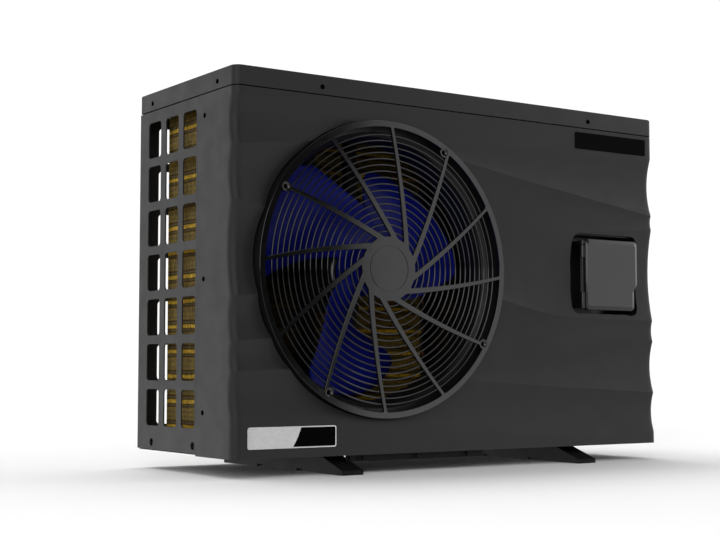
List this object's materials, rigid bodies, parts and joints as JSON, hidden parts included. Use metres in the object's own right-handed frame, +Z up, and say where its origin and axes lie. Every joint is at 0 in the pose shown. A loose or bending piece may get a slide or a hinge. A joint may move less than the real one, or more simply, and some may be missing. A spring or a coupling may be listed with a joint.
{
  "type": "pool heat pump unit",
  "caption": "Outdoor pool heat pump in a wave-fronted dark sheet-metal casing with a round fan grille, flip-cover keypad and gold L-shaped coil.",
  "frame": {"origin": "on the floor, at the middle of the unit's footprint", "axes": "+Z up, the fan faces -Y, +X to the right seen from the front"},
  "size_m": [0.984, 0.416, 0.693],
  "materials": {
    "front_paint": "fine-textured satin charcoal powder coat",
    "sheet_paint": "fine-textured satin charcoal powder coat",
    "foot_paint": "textured black powder coat",
    "galvanised": "galvanised sheet with faint spangle",
    "zinc_fastener": "zinc plated",
    "grille_plastic": "glossy UV-stable moulding",
    "shroud_plastic": "matt black moulding",
    "fan_plastic": "deep blue glossy moulding",
    "motor_steel": "zinc plated pressed cans",
    "shaft_steel": "ground bright steel",
    "gold_fin": "gold hydrophilic coated fins",
    "copper": "drawn copper, lightly dulled",
    "compressor_paint": "black enamel",
    "rubber": "matt moulded rubber",
    "valve_brass": "machined brass",
    "exchanger_pvc": "moulded reinforced PVC",
    "titanium": "drawn titanium tube",
    "union_plastic": "grey PVC",
    "board_green": "printed circuit board",
    "terminal_plastic": "moulded terminal strip",
    "gland_nylon": "black nylon",
    "pocket_plastic": "matt black moulding",
    "cover_plastic": "satin charcoal moulding",
    "display_glass": "dark tinted window",
    "button_rubber": "soft grey keys",
    "badge_silver": "brushed blank plate, split silver and black",
    "badge_black": "gloss black blank plate"
  },
  "bodies": {
    "casing": {"base_pan": "foot_paint", "foot_left": "foot_paint", "foot_right": "foot_paint", "foot_bolts": "zinc_fastener", "drain_spout": "gland_nylon", "front_panel": "front_paint", "top_cover": "sheet_paint", "left_grille_panel": "sheet_paint", "rear_grille_panel": "sheet_paint", "right_panel": "sheet_paint", "rear_service_panel": "sheet_paint", "access_cover": "sheet_paint", "partition_panel": "galvanised", "casing_screws": "zinc_fastener", "fan_shroud": "shroud_plastic", "fan_grille": "grille_plastic", "grille_screws": "zinc_fastener", "fan_motor": "motor_steel", "motor_bracket": "foot_paint", "coil_fins": "gold_fin", "coil_end_plates": "galvanised", "coil_return_bends": "copper", "compressor": "compressor_paint", "compressor_mounts": "rubber", "compressor_bolts": "zinc_fastener", "compressor_terminal_cover": "gland_nylon", "accumulator": "compressor_paint", "four_way_valve": "valve_brass", "expansion_valve": "valve_brass", "heat_exchanger": "exchanger_pvc", "titanium_coil": "titanium", "water_outlet_stub": "union_plastic", "water_inlet_stub": "union_plastic", "refrigerant_pipes": "copper", "electrical_box": "galvanised", "electrical_lid": "galvanised", "main_board": "board_green", "board_posts": "gland_nylon", "terminal_block": "terminal_plastic", "cable_glands": "gland_nylon", "control_pocket": "pocket_plastic", "cover_pin": "shaft_steel", "control_panel": "pocket_plastic", "display_window": "display_glass", "name_badge": "badge_black", "series_badge": "badge_silver"},
    "fan": {"fan_impeller": "fan_plastic", "motor_shaft": "shaft_steel", "fan_nut": "zinc_fastener"},
    "cover": {"control_cover": "cover_plastic"},
    "nut_outlet": {"union_nut_outlet": "union_plastic"},
    "nut_inlet": {"union_nut_inlet": "union_plastic"},
    "key_power": {"button_power": "button_rubber"},
    "key_mode": {"button_mode": "button_rubber"},
    "key_down": {"button_down": "button_rubber"},
    "key_up": {"button_up": "button_rubber"}
  },
  "joints": [
    {"name": "fan_spin", "type": "hinge", "parent": "casing", "child": "fan", "pos_m": [-0.183, -0.12, 0.359], "axis": [0, 1, 0], "continuous": true},
    {"name": "cover_hinge", "type": "hinge", "parent": "casing", "child": "cover", "pos_m": [0.294, -0.178, 0.3675], "axis": [0, 0, -1], "range_deg": [0, 110]},
    {"name": "outlet_nut_turn", "type": "hinge", "parent": "casing", "child": "nut_outlet", "pos_m": [0.4, 0.19, 0.383], "axis": [0, 1, 0], "continuous": true},
    {"name": "inlet_nut_turn", "type": "hinge", "parent": "casing", "child": "nut_inlet", "pos_m": [0.4, 0.19, 0.123], "axis": [0, 1, 0], "continuous": true},
    {"name": "press_power", "type": "slide", "parent": "casing", "child": "key_power", "axis": [0, 1, 0], "range_m": [0, 0.0012], "stiffness_N_per_m": 400, "springref_m": -0.0005},
    {"name": "press_mode", "type": "slide", "parent": "casing", "child": "key_mode", "axis": [0, 1, 0], "range_m": [0, 0.0012], "stiffness_N_per_m": 400, "springref_m": -0.0005},
    {"name": "press_down", "type": "slide", "parent": "casing", "child": "key_down", "axis": [0, 1, 0], "range_m": [0, 0.0012], "stiffness_N_per_m": 400, "springref_m": -0.0005},
    {"name": "press_up", "type": "slide", "parent": "casing", "child": "key_up", "axis": [0, 1, 0], "range_m": [0, 0.0012], "stiffness_N_per_m": 400, "springref_m": -0.0005}
  ]
}
